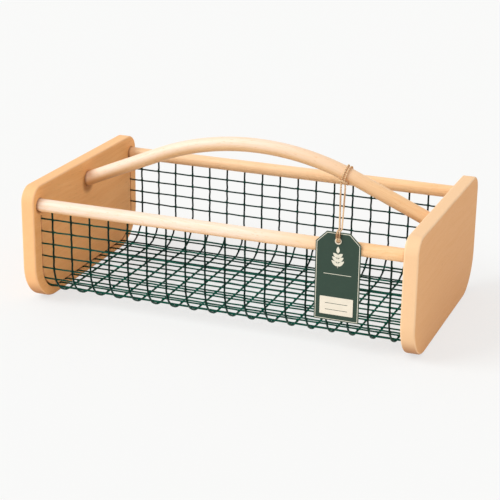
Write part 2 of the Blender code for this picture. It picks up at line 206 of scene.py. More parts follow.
# Details of the finishes: the height of their relief, and the places along X, Y or Z where one look starts
# to give way to another and where it has given way
wood_relief, coat_relief, twine_relief = 0.00006, 0.00008, 0.0002
# The sapwood tone and painted sheen on the rails and handle fade out between these places along X
sapwood_sheen_fade = (0.26, 0.06)
sapwood_sheen_waver = 0.12
under_handle_fade = (0.14, 0.235)
rear_coat_fade = (0.03, 0.15)
rear_coat_waver = 0.10
low_coat_fade = (0.040, 0.008)

# Details of the tag. A leaf pair has its height over the stem's foot and the length of its leaves.
print_lift = 0.00005
label_relief = 0.0005
label_corner = 0.0006
ruled_half_width = 0.0135
ruled_half_height = 0.00032
ruled_levels = (label_z + 0.0030, label_z - 0.0048)
eyelet_roll = 0.00035
sprig_foot = Vector((tag_centre_x, tag_front_y, tag_top_z - 0.0435))
leaf_skew, leaf_fullness = 0.8, 0.75
stem_length, stem_half_width = 0.0205, 0.00050
leaf_pairs = ((0.0030, 0.0098), (0.0082, 0.0088), (0.0134, 0.0074))
leaf_lean, leaf_half_width = 50.0, 0.0021
tip_rise, tip_length, tip_half_width = 0.0186, 0.0078, 0.0020
rule_drop = 0.0075
rule_size = (0.0330, 2 * print_lift, 0.00060)

# The camera, whose turn is yaw, pitch and roll in degrees, and the side that the key light comes from
camera_place = (0.62783, -1.64279, 0.6851)
camera_turn = (21.07, -19.57, 0.76)
camera_lens = 106.178
light_from = (-0.62, -0.42, 0.66)
backdrop_strength = 0.94
floor_radius = 6.0

# Faceting
merge_distance = gap / 10
corner_steps, edge_steps = 20, 5
dowel_sides, handle_sides, handle_bore_sides = 48, 40, 56
hole_sides, eyelet_sides = 40, 48
bend_steps, groove_steps = 64, 16
wire_sides = 8
curve_samples = 16
ply_points, knot_points, leaf_points = 18, 96, 14
thread_points = 22
floor_sides = 128
least_cut_faces = 200


# What a user would change


def length_property(name, description, default):
    return bpy.props.FloatProperty(
        name=name, description=description, default=default, min=0, precision=5, unit="LENGTH"
    )


def amount_property(name, description, default, **settings):
    return bpy.props.FloatProperty(name=name, description=description, default=default, min=0, **settings)


def colour_property(description, default):
    return bpy.props.FloatVectorProperty(
        name=description, description=description, default=default, min=0, max=1, size=3, subtype="COLOR"
    )


class CaddySizes(bpy.types.PropertyGroup):
    """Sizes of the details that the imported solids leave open."""

    edge_round: length_property("Panel edge", "Rounding of the end panels' edges", 0.0025)
    bore_ease: length_property("Bore ease", "Chamfer round each rail's socket", 0.0006)
    slot_ease: length_property("Dowel ease", "Chamfer on the dowels' ends", 0.0005)
    wire_waver: length_property("Wire waver", "How far a wire strays between two crossings", 0.00040)
    weld_radius: length_property("Weld size", "Radius of the coating over a crossing", 0.00172)
    upright_coated: length_property("Upright radius", "Radius of an upright with its coating", 0.00120)
    row_coated: length_property("Row radius", "Radius of a row with its coating", 0.00106)
    weld_sink: length_property("Weld sink", "How deep a wire is pressed into its welds", 0.00030)
    twine_coated: length_property("Twine radius", "Radius of the twine with its loose fibres", 0.00120)
    line_inset: length_property("Line inset", "Distance of the tag's line from its edge", 0.0011)
    line_width: length_property("Line width", "Width of the tag's line", 0.0007)
    ply_turn: length_property("Ply turn", "Length of one full turn of the twine's plies", 0.0062)
    thread_radius: length_property("Thread radius", "Radius of the thread bound round the strands", 0.00026)
    wire_swell: amount_property("Wire swell", "Share by which the coating swells at a crossing", 0.15)
    thread_turns: bpy.props.IntProperty(
        name="Thread turns", description="Turns of the thread bound round the strands", default=6, min=1
    )


class CaddyColours(bpy.types.PropertyGroup):
    """Colours of the caddy's finishes."""

    # The left board is painted paler than the right one, offsetting the shade that falls on its inner face
    left_light: colour_property("Left board between its growth rings", (1.0, 0.555, 0.235))
    left_dark: colour_property("Growth rings of the left board", (0.89, 0.415, 0.146))
    left_edge: colour_property("Narrow edges of the left board", (1.0, 0.62, 0.35))
    right_light: colour_property("Right board between its growth rings", (0.81, 0.455, 0.212))
    right_dark: colour_property("Growth rings of the right board", (0.765, 0.405, 0.170))
    right_edge: colour_property("Narrow edges of the right board", (1.0, 0.74, 0.50))
    dowel_light: colour_property("Rails and handle between the growth rings", (1.0, 0.69, 0.41))
    dowel_dark: colour_property("Growth rings of the rails and handle", (0.84, 0.455, 0.19))
    # Sapwood tone with a painted sheen, on the upper sides of the rails and handle towards their left ends
    sapwood: colour_property("Palest stretches of the rails and handle", (0.97, 0.790, 0.670))
    # Painted shade on the underside of the handle's ends, near the panels
    under_dowel: colour_property("Underside of the handle's ends", (0.58, 0.235, 0.050))
    wood_fleck: colour_property("Short flecks along the grain", (0.62, 0.30, 0.11))
    # Painted shade under the dowels where they enter the panels, and on the boards' undersides
    wood_shade: colour_property("Shade round the sockets and under the boards", (0.30, 0.088, 0.010))
    # The uprights' coat is painted darker than the rows' coat, standing in for the shade on upright wires; it
    # is also the colour of the painted shade towards the rear
    coat: colour_property("Coating of the upright wires", (0.0003, 0.008, 0.006))
    coat_row: colour_property("Coating of the rows", (0.0006, 0.041, 0.029))
    # Coating heaped over the crossings, painted paler as a highlight on the welds
    coat_weld: colour_property("Coating heaped over the crossings", (0.0006, 0.095, 0.068))
    # Rubbed coating, and also the painted light low at the front of the trough
    coat_worn: colour_property("Coating where it is rubbed", (0.004, 0.150, 0.100))
    card: colour_property("Printed face of the tag", (0.017, 0.048, 0.030))
    card_core: colour_property("Cut edge of the tag", (0.17, 0.22, 0.17))
    cream: colour_property("Line and sprig printed on the tag", (0.80, 0.78, 0.68))
    label: colour_property("Paper of the label", (0.87, 0.81, 0.71))
    eyelet: colour_property("Painted ring in the tag's hole", (0.86, 0.80, 0.68))
    twine: colour_property("Light fibres of the twine", (0.93, 0.70, 0.45))
    # Darker fibres of the twine, and the painted shade between its plies
    twine_dark: colour_property("Shaded fibres of the twine", (0.52, 0.27, 0.115))
    thread: colour_property("Thread bound round the strands", (0.24, 0.11, 0.045))


class CaddyStage(bpy.types.PropertyGroup):
    """Light and floor."""

    key_strength: amount_property("Key light", "Strength of the large light from the front left", 1.85)
    key_spread: amount_property("Key spread", "Angle of the key light", math.radians(38), subtype="ANGLE")
    sky_strength: amount_property("Room light", "Strength of the even light all round", 0.71)
    key: colour_property("Colour of the key light", (0.93, 1.0, 1.0))
    room: colour_property("Colour of the even light", (1.0, 0.94, 0.87))
    floor: colour_property("Colour of the floor", (0.97, 0.92, 0.86))
    floor_seen: colour_property("Shaded part of the floor as the camera sees it", (0.26, 0.265, 0.27))
    floor_lift: amount_property("Backdrop lift", "White added to the floor as the camera sees it", 0.672)


# Shapes

all_smooth = 180


def add_object(name, data):
    made = bpy.data.objects.new(name, data)
    bpy.context.scene.collection.objects.link(made)
    return made


def drop(holder):
    data = holder.data
    bpy.data.objects.remove(holder, do_unlink=True)
    (bpy.data.meshes if isinstance(data, bpy.types.Mesh) else bpy.data.curves).remove(data)


def finished_mesh(work):
    """The mesh of a shape, which is used up."""
    mesh = bpy.data.meshes.new("shape")
    work.to_mesh(mesh)
    work.free()
    return mesh


def evaluated_mesh(holder):
    """The mesh that an object's modifiers or bevel give. The object is used up."""
    graph = bpy.context.evaluated_depsgraph_get()
    mesh = bpy.data.meshes.new_from_object(holder.evaluated_get(graph))
    drop(holder)
    return mesh


def add_piece(name, mesh, materials, body, replaced, sharp_angle=None):
    """An object of the caddy that rides with its body, if it is given one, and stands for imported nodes.

    It is shaded smooth but for edges sharper than an angle in degrees, or flat where no angle is given.
    """
    mesh.name = name
    for material in materials:
        mesh.materials.append(material)
    if sharp_angle:
        mesh.shade_smooth()
        mesh.set_sharp_from_angle(angle=math.radians(sharp_angle))
    piece = add_object(name, mesh)
    if body:
        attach(piece, body)
    if replaced:
        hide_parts(*replaced)
    return piece


def cut_away(shape, cutters):
    """The shape less the cutters, worked out with Boolean modifiers."""
    holder, *blades = [add_object("scratch", finished_mesh(work)) for work in (shape, *cutters)]
    for blade in blades:
        cut = holder.modifiers.new("cut", "BOOLEAN")
        cut.operation = "DIFFERENCE"
        cut.object = blade
        cut.solver = "EXACT"
    mesh = evaluated_mesh(holder)
    for blade in blades:
        drop(blade)
    return mesh


def keep_flats_flat(piece):
    """Leans the shading of a rounded edge on the large faces beside it."""
    lean = piece.modifiers.new("flat_faces", "WEIGHTED_NORMAL")
    lean.keep_sharp = True


def box_shape(size, middle):
    work = bmesh.new()
    place = Matrix.Translation(middle) @ Matrix.Diagonal((*size, 1.0))
    bmesh.ops.create_cube(work, size=1.0, matrix=place)
    return work


def edges_along(work, axis, low=-math.inf, high=math.inf):
    """The edges that run along one axis, at a height between low and high."""
    found = []
    for edge in work.edges:
        a, b = (vert.co for vert in edge.verts)
        if abs((b - a).normalized()[axis]) > 0.99 and low < a.z < high:
            found.append(edge)
    return found


def rim_edges(work, axis):
    """The edges round the two large faces that look along one axis."""
    rims = []
    for edge in work.edges:
        facing = sorted(abs(face.normal[axis]) for face in edge.link_faces)
        if facing[0] < 0.1 and facing[-1] > 0.9:
            rims.append(edge)
    return rims


def round_edges(work, edges, radius, segments):
    bmesh.ops.bevel(
        work, geom=edges, offset=radius, offset_type="OFFSET", segments=segments, profile=0.5,
        affect="EDGES", material=-1, clamp_overlap=True,
    )
    work.normal_update()


def turned_shape(profile, steps, place, closed=False):
    """A shape turned round its own X axis from (along, radius) points, then put in its place."""
    work = bmesh.new()
    spots = [work.verts.new((along, radius, 0)) for along, radius in profile]
    pairs = list(zip(spots, spots[1:]))
    if closed:
        pairs.append((spots[-1], spots[0]))
    edges = [work.edges.new(pair) for pair in pairs]
    bmesh.ops.spin(
        work, geom=spots + edges, cent=(0, 0, 0), axis=(1, 0, 0), angle=math.tau, steps=steps, use_merge=True
    )
    bmesh.ops.remove_doubles(work, verts=work.verts, dist=merge_distance)
    bmesh.ops.recalc_face_normals(work, faces=work.faces)
    bmesh.ops.transform(work, matrix=place, verts=work.verts)
    return work


def tube_shape(points, radius=None, sides=wire_sides, swell=None, turn=None, outline=None):
    """A closed tube along the points. swell scales it and turn twists it at each point."""
    curve = bpy.data.curves.new("scratch", "CURVE")
    curve.dimensions = "3D"
    curve.use_fill_caps = True
    if outline is None:
        curve.bevel_depth = radius
        curve.bevel_resolution = sides // 2 - 2
    else:
        curve.bevel_mode = "OBJECT"
        curve.bevel_object = outline
    spline = curve.splines.new("POLY")
    spline.points.add(len(points) - 1)
    for i, (spot, point) in enumerate(zip(spline.points, points)):
        spot.co = (*point, 1.0)
        if swell is not None:
            spot.radius = swell[i]
        if turn is not None:
            spot.tilt = turn[i]
    spline.use_smooth = True
    mesh = evaluated_mesh(add_object("scratch", curve))
    work = bmesh.new()
    work.from_mesh(mesh)
    bpy.data.meshes.remove(mesh)
    bmesh.ops.remove_doubles(work, verts=work.verts, dist=merge_distance / 10)
    bmesh.ops.recalc_face_normals(work, faces=work.faces)
    return work


def ply_outline(radius):
    """The outline of two plies that lie side by side, as a flat curve for a tube to follow."""
    ply_radius, ply_offset = ply_share * radius, (1 - ply_share) * radius
    curve = bpy.data.curves.new("ply_outline", "CURVE")
    curve.dimensions = "2D"
    spline = curve.splines.new("POLY")
    spline.points.add(ply_points - 1)
    for i, spot in enumerate(spline.points):
        angle = math.tau * i / ply_points
        across = ply_offset * math.sin(angle)
        reach = ply_offset * abs(math.cos(angle)) + math.sqrt(ply_radius**2 - across**2)
        spot.co = (reach * math.cos(angle), reach * math.sin(angle), 0.0, 1.0)
    spline.use_cyclic_u = True
    return add_object("ply_outline", curve)


def arc_points(centre, radius, start, end, steps):
    """Points on an arc between two angles in degrees, both ends included."""
    points = []
    for i in range(steps + 1):
        angle = math.radians(start + (end - start) * i / steps)
        points.append((centre[0] + radius * math.cos(angle), centre[1] + radius * math.sin(angle)))
    return points


def smooth_curve(points):
    """A smooth curve through the route's own points."""
    ends = [points[0] * 2 - points[1], *points, points[-1] * 2 - points[-2]]
    curve = []
    for i in range(1, len(ends) - 2):
        a, b, c, d = ends[i - 1 : i + 3]
        linear = c - a
        square = 2 * a - 5 * b + 4 * c - d
        cubic = 3 * b - a - 3 * c + d
        for k in range(curve_samples):
            t = k / curve_samples
            curve.append(b + (linear * t + square * t**2 + cubic * t**3) / 2)
    return curve + [points[-1]]


def run_length(points):
    return sum((b - a).length for a, b in zip(points, points[1:]))


def even_points(curve, spacing):
    """Points about this far apart along a curve, from its start to its end."""
    lengths = [0.0]
    for a, b in zip(curve, curve[1:]):
        lengths.append(lengths[-1] + (b - a).length)
    count = round(lengths[-1] / spacing)
    even = []
    k = 0
    for i in range(count + 1):
        along = lengths[-1] * i / count
        while k < len(curve) - 2 and lengths[k + 1] < along:
            k += 1
        even.append(curve[k].lerp(curve[k + 1], (along - lengths[k]) / (lengths[k + 1] - lengths[k])))
    return even


# Materials


class Nodes:
    """Adds nodes to one tree. Each call gives the socket or sockets that the next node takes."""

    def __init__(self, tree):
        self.tree = tree

    def node(self, kind, inputs=None, **settings):
        """A node's outputs, once its settings are made and its inputs linked or set."""
        made = self.tree.nodes.new(kind)
        for key, value in settings.items():
            setattr(made, key, value)
        for key, value in (inputs or {}).items():
            if isinstance(value, bpy.types.NodeSocket):
                self.tree.links.new(value, made.inputs[key])
            elif made.inputs[key].type == "RGBA":
                made.inputs[key].default_value = (*value, 1.0)
            else:
                made.inputs[key].default_value = value
        return made.outputs

    def calc(self, operation, a, b=0.0):
        return self.node("ShaderNodeMath", {0: a, 1: b}, operation=operation)[0]

    def plus(self, *values):
        return functools.reduce(lambda a, b: self.calc("ADD", a, b), values)

    def minus(self, a, b):
        return self.calc("SUBTRACT", a, b)

    def times(self, *values):
        return functools.reduce(lambda a, b: self.calc("MULTIPLY", a, b), values)

    def size_of(self, value):
        return self.calc("ABSOLUTE", value)

    def split(self, vector):
        return self.node("ShaderNodeSeparateXYZ", {0: vector})

    def join(self, x, y, z):
        return self.node("ShaderNodeCombineXYZ", {0: x, 1: y, 2: z})[0]

    def blend(self, factor, a, b):
        """Colour a where the factor is 0 and colour b where it is 1."""
        return self.node("ShaderNodeMix", {0: factor, 6: a, 7: b}, data_type="RGBA")[2]

    def step(self, value, low, high):
        """0 below low, 1 above high, and smooth between them; high may be the lower of the two."""
        inputs = {"Value": value, "From Min": low, "From Max": high}
        return self.node("ShaderNodeMapRange", inputs, interpolation_type="SMOOTHSTEP", clamp=True)["Result"]

    def noise(self, place, cells, detail=3.0, roughness=0.55):
        """Noise with its own number of cells in a metre along each axis."""
        scaled = self.node("ShaderNodeVectorMath", {0: place, 1: cells}, operation="MULTIPLY")[0]
        inputs = {"Vector": scaled, "Scale": 1.0, "Detail": detail, "Roughness": roughness}
        return self.node("ShaderNodeTexNoise", inputs)["Fac"]

    def bump(self, height, distance):
        inputs = {"Height": height, "Distance": distance, "Strength": 1.0}
        return self.node("ShaderNodeBump", inputs)["Normal"]

    def group(self, make, inputs):
        """The outputs of a shared node group, which is made at its first use."""
        found = bpy.data.node_groups.get(make.__name__) or make(make.__name__)
        return self.node("ShaderNodeGroup", inputs, node_tree=found)

    def put(self, shader, **sockets):
        for name, value in sockets.items():
            self.tree.links.new(value, shader.inputs[name.replace("_", " ")])


def start_group(name, ins, outs):
    """A node group with named sockets, its nodes and its inputs."""
    group = bpy.data.node_groups.new(name, "ShaderNodeTree")
    for direction, sockets in (("INPUT", ins), ("OUTPUT", outs)):
        for socket_name, kind in sockets.items():
            group.interface.new_socket(socket_name, in_out=direction, socket_type=f"NodeSocket{kind}")
    nodes = Nodes(group)
    return group, nodes, nodes.node("NodeGroupInput")


def wood_grain(name):
    """Growth rings, fibres and short flecks along X of the place it is given."""
    group, nodes, given = start_group(
        name, {"Place": "Vector", "Light": "Color", "Dark": "Color", "Fleck": "Color"},
        {"Color": "Color", "Roughness": "Float", "Height": "Float"},
    )
    place = given["Place"]
    sideways = nodes.join(0.0, nodes.times(nodes.noise(place, drift_cells, detail=2), ring_drift), 0.0)
    bent = nodes.node("ShaderNodeVectorMath", {0: place, 1: sideways}, operation="ADD")[0]
    rings = nodes.noise(bent, ring_cells, detail=3)
    fibres = nodes.noise(bent, fibre_cells, detail=5, roughness=0.7)
    flecks = nodes.step(nodes.noise(bent, fleck_cells, detail=1), 0.64, 0.74)
    patches = nodes.noise(place, patch_cells, detail=2)
    tone = nodes.plus(
        nodes.times(nodes.step(rings, 0.3, 0.72), 0.34),
        nodes.times(nodes.step(fibres, 0.32, 0.70), 0.34),
        nodes.times(patches, 0.24),
    )
    colour = nodes.blend(tone, given["Light"], given["Dark"])
    nodes.node("NodeGroupOutput", {
        "Color": nodes.blend(nodes.times(flecks, 0.30), colour, given["Fleck"]),
        "Roughness": nodes.plus(nodes.times(fibres, 0.16), 0.33),
        "Height": nodes.minus(fibres, nodes.times(flecks, 0.5)),
    })
    return group


def joint_shade(name):
    """A mask of painted shade: the wood close under a dowel where it enters its panel, and a panel's
    underside.
    """
    group, nodes, given = start_group(name, {"Place": "Vector", "Normal": "Vector"}, {"Mask": "Float"})
    x, y, z = nodes.split(given["Place"])
    across = nodes.size_of(y)
    masks = []
    for centre_y, centre_z, radius, reach in (
        (rail_y, rail_z - rail_shade_drop, rail_radius, rail_shade_reach),
        (0.0, handle_place(half_inside)[0] - handle_shade_drop, handle_radius * handle_shade_share,
         handle_shade_reach),
    ):
        aside = nodes.minus(across, centre_y)
        above = nodes.minus(z, centre_z)
        distance = nodes.calc("SQRT", nodes.plus(nodes.times(aside, aside), nodes.times(above, above)))
        masks.append(nodes.step(nodes.minus(distance, radius), reach, 0.0))
    past_face = nodes.minus(nodes.size_of(x), half_inside)
    at_face = nodes.step(nodes.size_of(past_face), face_shade_reach, 0.0)
    upward = nodes.split(given["Normal"])[2]
    under = nodes.times(nodes.step(past_face, -gap, gap), nodes.step(upward, -0.35, -0.85))
    near_dowel = nodes.times(nodes.calc("MAXIMUM", *masks), at_face)
    nodes.node("NodeGroupOutput", {"Mask": nodes.calc("MAXIMUM", near_dowel, under)})
    return group


def skin(name):
    """Slow patches, rubbed spots and fine orange peel, for coats, card and paper."""
    outputs = {"Patches": "Float", "Rubbed": "Float", "Height": "Float"}
    group, nodes, given = start_group(name, {"Place": "Vector", "Grain": "Float"}, outputs)
    place = given["Place"]
    fine = {"Vector": place, "Scale": given["Grain"], "Detail": 3.0, "Roughness": 0.6}
    nodes.node("NodeGroupOutput", {
        "Patches": nodes.step(nodes.noise(place, (70, 70, 70)), 0.3, 0.7),
        "Rubbed": nodes.step(nodes.noise(place, (230, 230, 230), detail=5, roughness=0.7), 0.56, 0.7),
        "Height": nodes.node("ShaderNodeTexNoise", fine)["Fac"],
    })
    return group


def start_material(name):
    """A material, its nodes and its Principled shader."""
    material = bpy.data.materials.new(name)
    material.use_nodes = True
    return material, Nodes(material.node_tree), material.node_tree.nodes["Principled BSDF"]


def start_wood(name, light, dark):
    """A material of light close-grained wood, whose grain follows the piece's own grain_place."""
    fleck = bpy.context.scene.caddy_colours.wood_fleck
    material, nodes, shader = start_material(name)
    place = nodes.node("ShaderNodeAttribute", attribute_name="grain_place")["Vector"]
    spot = nodes.node("ShaderNodeTexCoord")
    inputs = {"Place": place, "Light": light, "Dark": dark, "Fleck": fleck}
    return material, nodes, shader, spot, nodes.group(wood_grain, inputs)


def finish_wood(nodes, shader, spot, grain, colour, roughness, gloss):
    """Links a wood's shader, with painted shade round the joints and under the boards."""
    shaded = bpy.context.scene.caddy_colours.wood_shade
    mask = nodes.group(joint_shade, {"Place": spot["Object"], "Normal": spot["Normal"]})["Mask"]
    # Painted shade darkens the wood near the sockets and on the boards' undersides.
    colour = nodes.blend(nodes.times(mask, 0.70), colour, shaded)
    nodes.put(shader, Base_Color=colour, Roughness=roughness, Normal=nodes.bump(grain["Height"], wood_relief))
    shader.inputs["Specular IOR Level"].default_value = gloss


def board_material(name, light, dark, edge):
    """A board: its narrow edges are paler, and its rounded edges are rubbed smoother and carry a painted
    highlight.
    """
    material, nodes, shader, spot, grain = start_wood(name, light, dark)
    facing = nodes.split(spot["Normal"])[0]
    square = nodes.times(facing, facing)
    narrow = nodes.minus(1.0, square)
    # Rounded edges: rubbed smoother, and paled along the arrises as a painted highlight.
    rubbed_highlight = nodes.times(square, narrow, nodes.noise(spot["Object"], (30, 30, 30)))
    pale = nodes.plus(nodes.times(narrow, 0.55), nodes.times(rubbed_highlight, 3.5))
    colour = nodes.blend(pale, grain["Color"], edge)
    roughness = nodes.minus(nodes.plus(grain["Roughness"], 0.16), nodes.times(rubbed_highlight, 0.35))
    finish_wood(nodes, shader, spot, grain, colour, roughness, 0.18)
    return material


def dowel_material(name, paleness, wrap, end_shade):
    """Rails and handle, oiled to a sheen: a sapwood tone with a painted sheen on their upper sides towards
    the left end, and painted shade under the handle's ends.
    """
    colours = bpy.context.scene.caddy_colours
    material, nodes, shader, spot, grain = start_wood(name, colours.dowel_light, colours.dowel_dark)
    x = nodes.split(spot["Object"])[0]
    upward = nodes.split(spot["Normal"])[2]
    drift = nodes.times(nodes.noise(spot["Object"], (6, 18, 18)), sapwood_sheen_waver)
    left = nodes.step(nodes.plus(x, drift), *sapwood_sheen_fade)
    streaks = nodes.times(nodes.step(grain["Height"], 0.28, 0.58), 0.5)
    # The paleness keeps to the upper side, where the light falls: a painted sheen over the sapwood tone.
    left = nodes.times(left, nodes.step(upward, -wrap, 0.8 - wrap), nodes.plus(streaks, 0.5))
    colour = nodes.blend(nodes.times(left, paleness), grain["Color"], colours.sapwood)
    # Painted shade darkens the underside of the handle's ends near the panels.
    ends = nodes.step(nodes.size_of(x), *under_handle_fade)
    under = nodes.times(ends, nodes.step(upward, 0.1, -0.8), end_shade)
    colour = nodes.blend(under, colour, colours.under_dowel)
    finish_wood(nodes, shader, spot, grain, colour, nodes.plus(grain["Roughness"], 0.02), 0.5)
    return material


def coat_material(name, coat, mottle):
    """Green plastic coat on the wires, with painted shade darkening it towards the rear and painted light
    paling it low at the front.
    """
    colours = bpy.context.scene.caddy_colours
    rub_and_light = colours.coat_worn
    material, nodes, shader = start_material(name)
    place = nodes.node("ShaderNodeTexCoord")["Object"]
    coated = nodes.group(skin, {"Place": place, "Grain": 1500.0})
    colour = nodes.blend(nodes.times(coated["Patches"], mottle), coat, rub_and_light)
    colour = nodes.blend(nodes.times(coated["Rubbed"], mottle), colour, rub_and_light)
    x, y, z = nodes.split(place)
    drift = nodes.times(nodes.noise(place, (14, 14, 14)), rear_coat_waver)
    # Painted shade: darker towards the rear of the trough.
    rear = nodes.step(nodes.plus(y, drift), *rear_coat_fade)
    # Painted light: paler low at the front.
    low = nodes.times(nodes.step(z, *low_coat_fade), nodes.minus(1.0, rear))
    colour = nodes.blend(nodes.times(rear, 0.65), colour, colours.coat)
    colour = nodes.blend(nodes.times(low, 0.28), colour, rub_and_light)
    roughness = nodes.plus(nodes.times(coated["Rubbed"], 0.18), 0.34)
    peel = nodes.bump(coated["Height"], coat_relief)
    nodes.put(shader, Base_Color=colour, Roughness=roughness, Normal=peel)
    shader.inputs["Specular IOR Level"].default_value = 0.10
    return material


def paper_material(name, colour, grain, roughness, mottle, relief):
    """Printed card or paper: faint mottling, rubbed spots and fibres."""
    material, nodes, shader = start_material(name)
    place = nodes.node("ShaderNodeTexCoord")["Object"]
    sheet = nodes.group(skin, {"Place": place, "Grain": grain})
    dark = [0.82 * part for part in colour]
    pale = [min(1.0, 1.25 * part + 0.01) for part in colour]
    made = nodes.blend(nodes.times(sheet["Patches"], mottle), colour, dark)
    made = nodes.blend(nodes.times(sheet["Rubbed"], mottle * 0.6), made, pale)
    fibres = nodes.plus(nodes.times(sheet["Height"], 0.15), roughness)
    nodes.put(shader, Base_Color=made, Roughness=fibres, Normal=nodes.bump(sheet["Height"], relief))
    return material


def twine_material(name, light, dark, plies):
    """Twisted plant fibre, with painted shade in the groove between the plies where they are asked for; u of
    the UV map runs round the cord and v along it.
    """
    material, nodes, shader = start_material(name)
    u, v, rest = nodes.split(nodes.node("ShaderNodeUVMap", uv_map="UVMap")[0])
    angle = nodes.times(u, math.tau)
    ring = nodes.join(nodes.calc("COSINE", angle), nodes.calc("SINE", angle), nodes.times(v, 36.0))
    fibres = nodes.noise(ring, (4.5, 4.5, 2.2), detail=5, roughness=0.7)
    slubs = nodes.noise(ring, (0.8, 0.8, 0.9), detail=2)
    tone = nodes.plus(
        nodes.times(nodes.step(fibres, 0.35, 0.68), 0.55), nodes.times(nodes.step(slubs, 0.35, 0.7), 0.25)
    )
    if plies:
        # Painted shade in the groove between the two plies.
        between = nodes.size_of(nodes.calc("COSINE", angle))
        tone = nodes.plus(tone, nodes.times(nodes.step(between, 0.55, 0.05), 0.40))
    nodes.put(
        shader, Base_Color=nodes.blend(tone, light, dark),
        Roughness=nodes.plus(nodes.times(fibres, 0.15), 0.72), Normal=nodes.bump(fibres, twine_relief),
    )
    return material


# Stage


def seen_directly(nodes):
    """1 for what the camera sees itself, in a reflection or through glass, and 0 for light thrown back."""
    path = nodes.node("ShaderNodeLightPath")
    mirrored = nodes.calc("MAXIMUM", path["Is Glossy Ray"], path["Is Transmission Ray"])
    return nodes.calc("MAXIMUM", path["Is Camera Ray"], mirrored)


def add_camera(scene):
    data = bpy.data.cameras.new("camera")
    data.sensor_width = 36.0
    data.lens = camera_lens
    data.clip_start = 0.05
    yaw, pitch, roll = (math.radians(angle) for angle in camera_turn)
    forward = Vector((-math.sin(yaw) * math.cos(pitch), math.cos(yaw) * math.cos(pitch), math.sin(pitch)))
    level = Vector((math.cos(yaw), math.sin(yaw), 0))
    upright = level.cross(forward)
    right = math.cos(roll) * level + math.sin(roll) * upright
    above = math.cos(roll) * upright - math.sin(roll) * level
    turn = Matrix((right, above, -forward)).transposed().to_4x4()
    scene.camera = add_object("camera", data)
    scene.camera.matrix_world = Matrix.Translation(camera_place) @ turn


def add_light(scene, stage):
    data = bpy.data.lights.new("key_light", "SUN")
    data.energy = stage.key_strength
    data.color = stage.key
    data.angle = stage.key_spread
    key = add_object("key_light", data)
    key.location = Vector(light_from)
    key.rotation_euler = key.location.to_track_quat("Z", "Y").to_euler()
    world = bpy.data.worlds.new("room")
    world.use_nodes = True
    scene.world = world
    nodes = Nodes(world.node_tree)
    seen = seen_directly(nodes)
    extra = nodes.times(seen, backdrop_strength - stage.sky_strength)
    nodes.put(
        world.node_tree.nodes["Background"], Strength=nodes.plus(extra, stage.sky_strength),
        Color=nodes.blend(seen, stage.room, (1.0, 1.0, 1.0)),
    )


def add_floor(scene, stage):
    """A round floor a hair under the feet, which keeps the caddy's shadow under the backdrop's white."""
    work = bmesh.new()
    under_feet = Matrix.Translation((0, 0, -gap / 3))
    bmesh.ops.create_circle(work, cap_ends=True, segments=floor_sides, radius=floor_radius, matrix=under_feet)
    floor = add_object("floor", finished_mesh(work))
    material, nodes, shader = start_material("floor")
    shader.inputs["Roughness"].default_value = 0.9
    shader.inputs["Specular IOR Level"].default_value = 0.0
    shader.inputs["Emission Color"].default_value = (1.0, 1.0, 1.0, 1.0)
    seen = seen_directly(nodes)
    colour = nodes.blend(seen, stage.floor, stage.floor_seen)
    nodes.put(shader, Base_Color=colour, Emission_Strength=nodes.times(seen, stage.floor_lift))
    floor.data.materials.append(material)


class CADDY_OT_stage(bpy.types.Operator):
    """Set the camera, the lights and the floor"""

    bl_idname = "caddy.stage"
    bl_label = "Set the stage"

    def execute(self, context):
        scene = context.scene
        scene.view_settings.view_transform = "Standard"
        add_camera(scene)
        add_light(scene, scene.caddy_stage)
        add_floor(scene, scene.caddy_stage)
        return {"FINISHED"}


# Twine


def handle_place(x):
    """The height and the downward slope angle of the handle's centre line at x."""
    angle = math.asin(min(abs(x), handle_bend_half_span) / handle_bend_radius)
    drop_on_arc = handle_bend_radius * (1 - math.cos(angle))
    drop_on_leg = max(0.0, abs(x) - handle_bend_half_span) * math.tan(angle)
    return handle_apex_z - drop_on_arc - drop_on_leg, math.copysign(angle, x)


def hitch_spot(hitch_frame, along, angle, lift):
    """A point of the hitch in the world."""
    turn = math.radians(angle)
    radius = hitch_radius + lift
    return hitch_frame @ Vector((along, -radius * math.cos(turn), radius * math.sin(turn)))


def strand_half(side, end):
    """One strand from the fold over the tag towards its end at the hitch."""
    fold = Vector((tag_centre_x + side * twine_spacing / 2, tag_middle_y + fold_gap, fold_z))
    straight = fold + Vector((0, strand_lead, 0))
    strand = [fold, straight]
    for share in strand_shares:
        droop = 4 * strand_sag * share * (1 - share)
        strand.append(straight.lerp(end, share) - Vector((0, 0, droop)))
    return strand


def tie_strand(side):
    """One strand from the knot through the eyelet, up the tag's front and towards the fold."""
    x = tag_centre_x + side * twine_spacing / 2
    inside = tag_front_y + tag_thickness / 2
    points = [(x, knot_y, tag_hole_z + knot_rise / 2)]
    points += [(x, inside + twine_radius, tag_hole_z), (x, inside - twine_radius, tag_hole_z)]
    for height_share, front_share in zip(tie_height_shares[::-1], tie_front_shares[::-1]):
        y = tag_front_y - front_share * twine_diameter
        points.append((x, y, tag_hole_z + (fold_z - tag_hole_z) * height_share))
    return [Vector(point) for point in points]


def twine_route():
    """The twine from the knot, over the tag, round the handle and back to the knot."""
    height, slope = handle_place(hitch_x)
    hitch_frame = Matrix.Translation((hitch_x, 0, height)) @ Matrix.Rotation(slope, 4, "Y")
    halves = []
    for side in (-1, 1):
        hitch = [
            hitch_spot(hitch_frame, side * apart + along, angle, lift)
            for apart, along, angle, lift in hitch_route
        ]
        halves.append(tie_strand(side) + strand_half(side, hitch[0]) + hitch)
    return halves[0] + [hitch_spot(hitch_frame, *bight_middle)] + halves[1][::-1]


